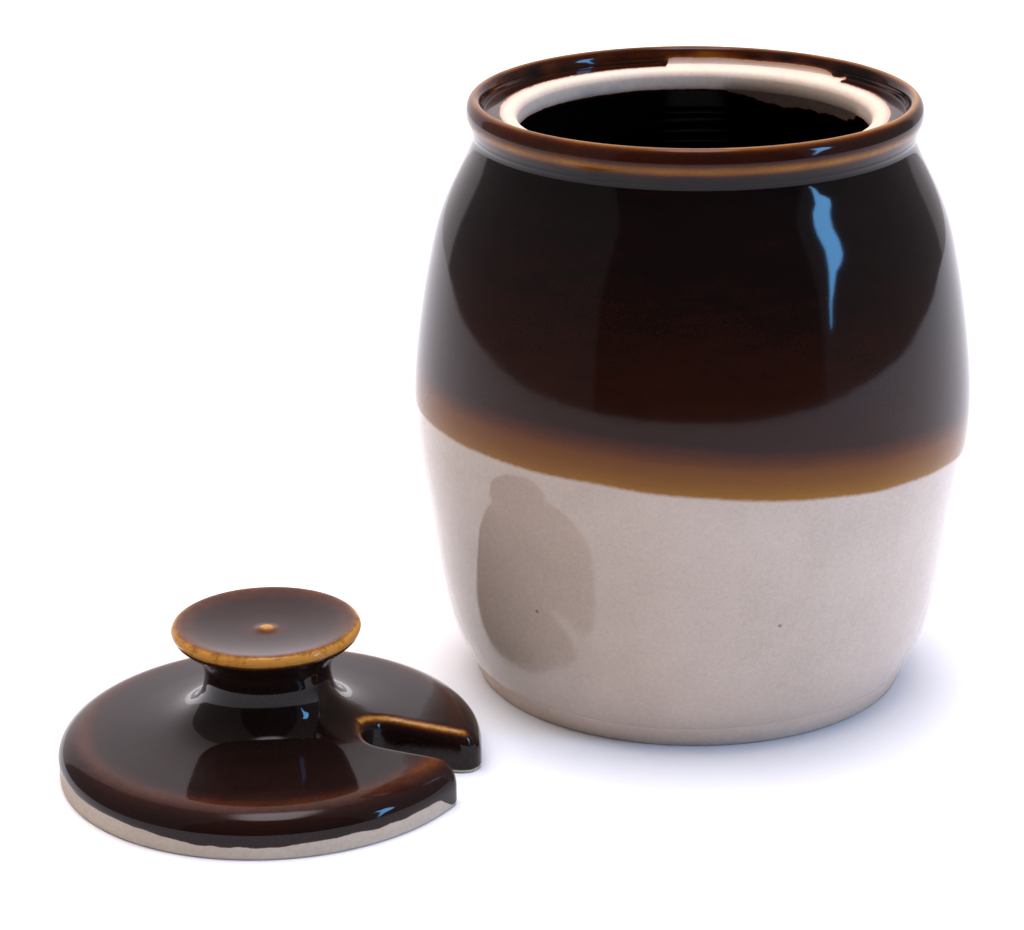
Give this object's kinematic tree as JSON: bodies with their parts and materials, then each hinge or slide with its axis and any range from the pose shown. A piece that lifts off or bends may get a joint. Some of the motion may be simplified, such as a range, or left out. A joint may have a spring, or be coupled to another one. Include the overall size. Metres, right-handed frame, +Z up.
{
  "type": "butter crock",
  "caption": "Barrel-shaped stoneware butter crock with a rolled rim, an inner ledge and a loose knobbed lid with a spoon slot.",
  "frame": {"origin": "middle of the jar's flat foot, on the surface that the jar and the lid stand on", "axes": "+Z up out of the jar's mouth, -Y towards the viewer, the lid lying at -X -Y"},
  "size_m": [0.2034, 0.1739, 0.1376],
  "materials": {
    "jar_stoneware": "gloss dark brown dip glaze over clear-glazed cream stoneware, bare ledge and foot",
    "lid_stoneware": "gloss dark brown glaze that breaks to amber on edges, bare bottom edge"
  },
  "bodies": {
    "jar": {"jar": "jar_stoneware"},
    "lid": {"lid": "lid_stoneware"}
  },
  "joints": [
    {"name": "lid_lift", "type": "slide", "parent": "jar", "child": "lid", "axis": [0, 0, 1], "range_m": [0, 0.2]}
  ]
}
